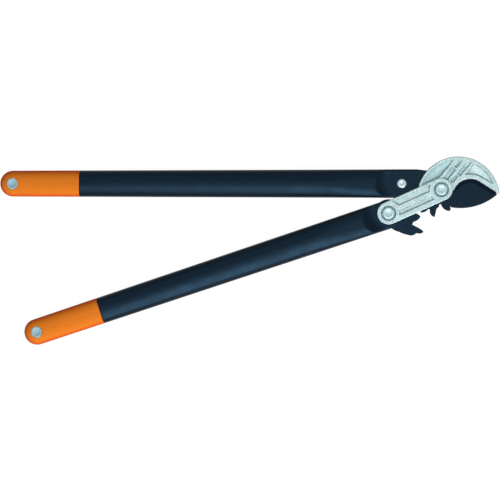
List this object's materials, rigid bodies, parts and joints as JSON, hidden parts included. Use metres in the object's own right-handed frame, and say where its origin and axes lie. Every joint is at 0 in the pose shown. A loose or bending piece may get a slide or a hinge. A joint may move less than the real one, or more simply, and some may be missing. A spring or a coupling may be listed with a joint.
{
  "type": "anvil lopper",
  "caption": "Long geared anvil lopper with a ribbed cast head, a dark coated blade driven by teeth on the lower handle's hub, and oval handles with orange ends.",
  "frame": {"origin": "main pivot axis, where the main pivot's nut meets the surface that the tool lies on", "axes": "+X towards the blade's tip along the upper handle, +Y to the upper handle's outer side, +Z out of the surface, along both pivots"},
  "size_m": [0.6898, 0.2601, 0.025],
  "materials": {
    "cast_head": "satin die cast",
    "handle_tube": "satin moulded",
    "orange_grip": "satin moulded",
    "grip_plug": "satin moulded",
    "coated_blade": "low-friction coating",
    "pivot_steel": "zinc plated",
    "rivet_steel": "zinc plated",
    "bush_bronze": "sintered",
    "washer_acetal": "moulded"
  },
  "bodies": {
    "anvil_side": {"anvil_head": "cast_head", "upper_handle": "handle_tube", "upper_grip": "orange_grip", "upper_grip_plug": "grip_plug", "main_pivot_pin": "pivot_steel", "main_pivot_nut": "pivot_steel", "gear_pivot_pin": "pivot_steel", "gear_pivot_nut": "pivot_steel", "handle_rivet": "rivet_steel", "handle_rivet_cap": "rivet_steel", "blade_washer_front": "washer_acetal", "blade_washer_back": "washer_acetal", "hub_washer_front": "washer_acetal", "hub_washer_back": "washer_acetal"},
    "lower_lever": {"lower_handle": "handle_tube", "lower_grip": "orange_grip", "lower_grip_plug": "grip_plug", "gear_bush": "bush_bronze"},
    "cutting_blade": {"blade": "coated_blade", "blade_bush": "bush_bronze"}
  },
  "joints": [
    {"name": "lower_handle_pivot", "type": "hinge", "parent": "anvil_side", "child": "lower_lever", "pos_m": [-0.07297, -0.03279, 0.0125], "axis": [0, 0, 1], "range_deg": [0, 60]},
    {"name": "blade_pivot", "type": "hinge", "parent": "anvil_side", "child": "cutting_blade", "pos_m": [0, 0, 0.0125], "axis": [0, 0, 1], "range_deg": [-70.2, 0]}
  ],
  "couplings": [
    {"joint": "blade_pivot", "follows": "lower_handle_pivot", "ratio": -1.17}
  ]
}
